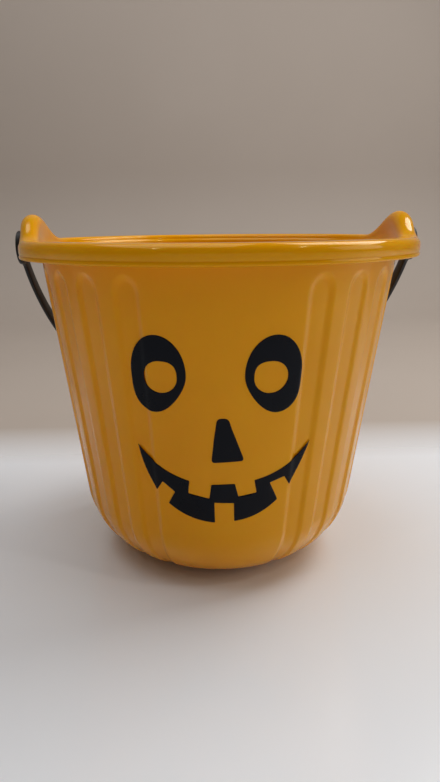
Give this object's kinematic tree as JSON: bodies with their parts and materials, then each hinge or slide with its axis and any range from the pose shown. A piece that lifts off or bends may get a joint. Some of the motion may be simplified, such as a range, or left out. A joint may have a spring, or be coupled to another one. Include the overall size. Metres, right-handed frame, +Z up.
{
  "type": "sand bucket",
  "caption": "Child's tapered, fluted plastic sand bucket with a channel rim, two raised pivot ears, a swinging strap handle and a pumpkin-style face in die-cut stickers.",
  "frame": {"origin": "middle of the flat underside of the bucket, on the bowl's turning axis, at table height", "axes": "+Z up along the bowl's axis; the face looks along -Y; X runs through both ears along the handle's pivot axis, +X to the right of a viewer who looks at the face; the handle hangs at the back, on the +Y side"},
  "size_m": [0.2152, 0.21, 0.1884],
  "materials": {
    "orange_plastic": "injection-moulded orange polypropylene, semi-gloss, slightly translucent",
    "black_plastic": "injection-moulded black polypropylene, satin",
    "black_vinyl": "self-adhesive black vinyl film, satin"
  },
  "bodies": {
    "bucket": {"bucket_body": "orange_plastic", "left_eye_sticker": "black_vinyl", "right_eye_sticker": "black_vinyl", "nose_sticker": "black_vinyl", "mouth_sticker": "black_vinyl"},
    "bail": {"handle": "black_plastic"}
  },
  "joints": [
    {"name": "handle_swing", "type": "hinge", "parent": "bucket", "child": "bail", "pos_m": [0, 0, 0.1712], "axis": [1, 0, 0], "range_deg": [0, 284]}
  ]
}
